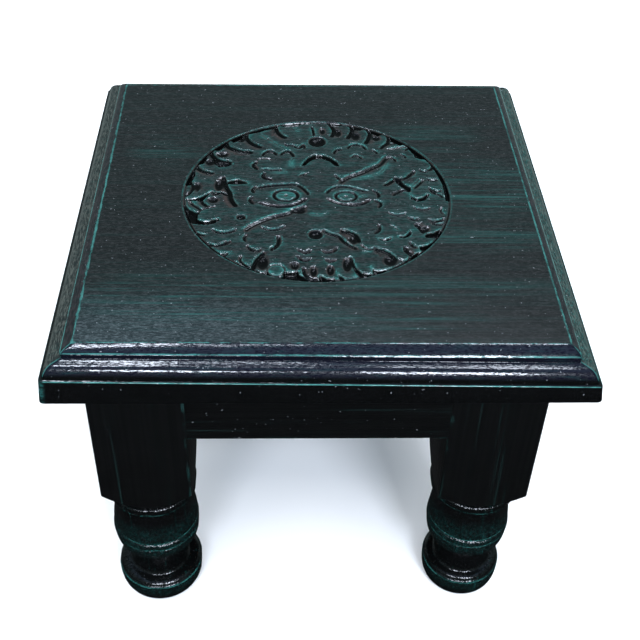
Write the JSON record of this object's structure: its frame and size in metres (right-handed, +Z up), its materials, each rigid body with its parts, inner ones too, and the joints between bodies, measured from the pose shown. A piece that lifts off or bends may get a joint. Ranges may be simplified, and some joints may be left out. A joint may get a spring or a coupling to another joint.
{
  "type": "bajot low table",
  "caption": "Low square table or stool: moulded top with a round carved floral panel, tenoned aprons, and legs that are square above and turned below; carries small things close to the floor.",
  "frame": {"origin": "on the floor under the middle of the top", "axes": "+Z up; the front, as pictured, faces -Y; +X to the right"},
  "size_m": [0.305, 0.305, 0.254],
  "materials": {
    "painted_wood": "black paint rubbed back to a teal undercoat on edges, carving and brush streaks, under gloss lacquer",
    "bare_wood": "sawn and unpainted, dry",
    "screw_steel": "plain zinc plate, slightly dull"
  },
  "bodies": {
    "root": {"top_board": "painted_wood", "leg_front_left": "painted_wood", "leg_front_right": "painted_wood", "leg_back_right": "painted_wood", "leg_back_left": "painted_wood", "apron_front": "painted_wood", "apron_right": "painted_wood", "apron_back": "painted_wood", "apron_left": "painted_wood", "cleat_front": "bare_wood", "cleat_right": "bare_wood", "cleat_back": "bare_wood", "cleat_left": "bare_wood", "top_screw_front_1": "screw_steel", "top_screw_front_2": "screw_steel", "apron_screw_front_1": "screw_steel", "apron_screw_front_2": "screw_steel", "top_screw_right_1": "screw_steel", "top_screw_right_2": "screw_steel", "apron_screw_right_1": "screw_steel", "apron_screw_right_2": "screw_steel", "top_screw_back_1": "screw_steel", "top_screw_back_2": "screw_steel", "apron_screw_back_1": "screw_steel", "apron_screw_back_2": "screw_steel", "top_screw_left_1": "screw_steel", "top_screw_left_2": "screw_steel", "apron_screw_left_1": "screw_steel", "apron_screw_left_2": "screw_steel"}
  },
  "joints": []
}
